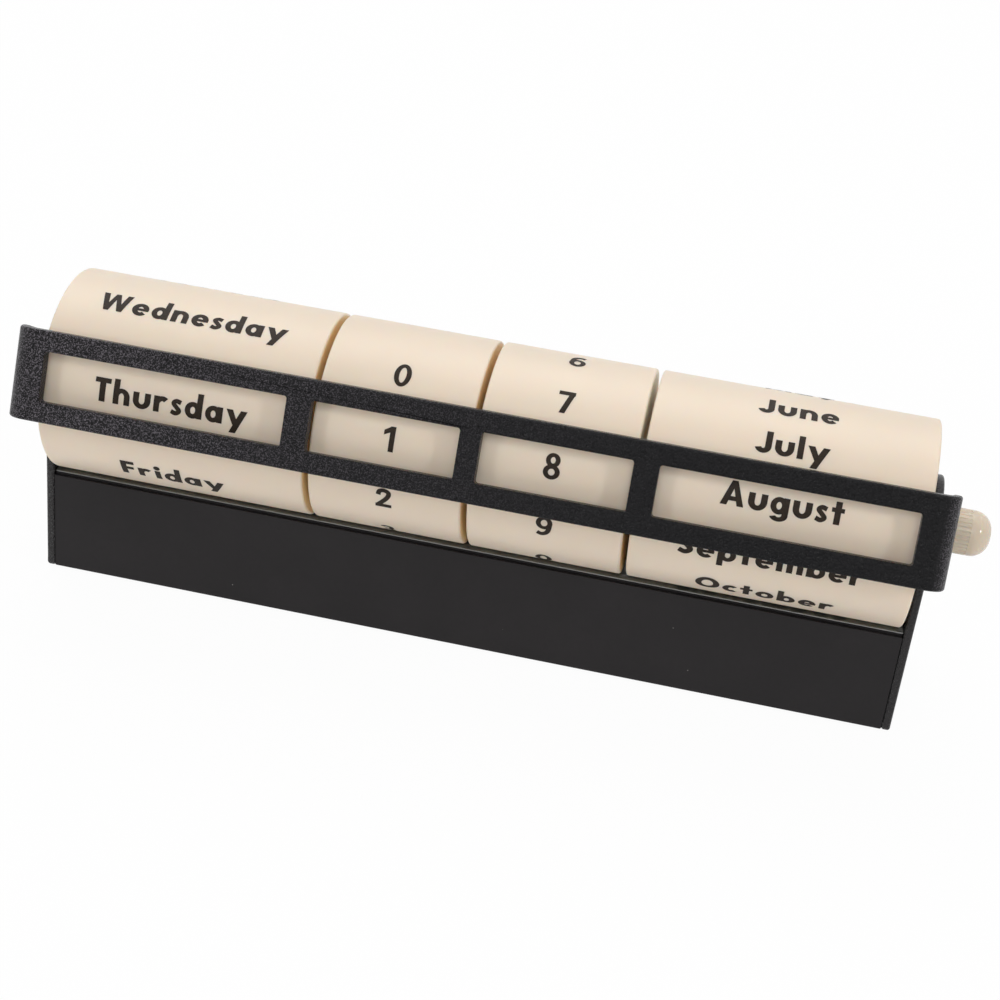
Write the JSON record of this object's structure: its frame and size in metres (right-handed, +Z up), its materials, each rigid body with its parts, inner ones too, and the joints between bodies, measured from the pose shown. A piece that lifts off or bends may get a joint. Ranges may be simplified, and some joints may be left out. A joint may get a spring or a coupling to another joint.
{
  "type": "perpetual desk calendar",
  "caption": "Long desk calendar: drums with weekday, date and month legends roll on an axle above a low base, read through windows in a strip that swings on the same axle.",
  "frame": {"origin": "centre of the footprint, on the underside of the pad the base stands on, straight below the middle of the row of drums", "axes": "+X along the axle towards the thumb nut, -Y out of the front panel, +Z up"},
  "size_m": [0.225, 0.0534, 0.0723],
  "materials": {
    "black_shell": "black moulded plastic with a fine matte grain",
    "black_gloss": "black polished plastic",
    "black_plate": "black textured paint",
    "black_strip": "black plastic with a coarse leather grain",
    "cream": "cream glossy plastic",
    "cream_knob": "cream satin plastic",
    "steel": "turned steel",
    "spring_steel": "spring steel",
    "screw_steel": "blackened steel",
    "nylon": "natural nylon",
    "pad": "black rubber sheet",
    "brass": "turned brass",
    "inner_black": "black plastic sheet"
  },
  "bodies": {
    "base": {"base_shell": "black_shell", "drum_trough": "black_gloss", "bottom_plate": "inner_black", "base_pad": "pad", "bottom_screws": "steel", "left_end_plate": "black_plate", "right_end_plate": "black_plate", "end_plate_screws": "screw_steel", "axle": "steel", "left_thrust_washer": "nylon", "right_thrust_washer": "nylon", "spring_washer": "spring_steel", "drum_spacers": "nylon"},
    "weekday": {"weekday_drum": "cream", "weekday_cap": "cream"},
    "tens": {"tens_drum": "cream", "tens_cap": "cream"},
    "units": {"units_drum": "cream", "units_cap": "cream"},
    "month": {"month_drum": "cream", "month_cap": "cream"},
    "strip": {"window_strip": "black_strip", "strip_bushes": "nylon", "drag_washer": "nylon"},
    "thumb_nut": {"knob": "cream_knob", "knob_insert": "brass"}
  },
  "joints": [
    {"name": "weekday_turn", "type": "hinge", "parent": "base", "child": "weekday", "pos_m": [0, 0, 0.0484], "axis": [1, 0, 0], "continuous": true},
    {"name": "tens_turn", "type": "hinge", "parent": "base", "child": "tens", "pos_m": [0, 0, 0.0484], "axis": [1, 0, 0], "continuous": true},
    {"name": "units_turn", "type": "hinge", "parent": "base", "child": "units", "pos_m": [0, 0, 0.0484], "axis": [1, 0, 0], "continuous": true},
    {"name": "month_turn", "type": "hinge", "parent": "base", "child": "month", "pos_m": [0, 0, 0.0484], "axis": [1, 0, 0], "continuous": true},
    {"name": "strip_swing", "type": "hinge", "parent": "base", "child": "strip", "pos_m": [0, 0, 0.0484], "axis": [1, 0, 0], "range_deg": [-180, 55]},
    {"name": "thumb_nut_turn", "type": "hinge", "parent": "base", "child": "thumb_nut", "pos_m": [0, 0, 0.0484], "axis": [1, 0, 0], "range_deg": [0, 180]}
  ]
}
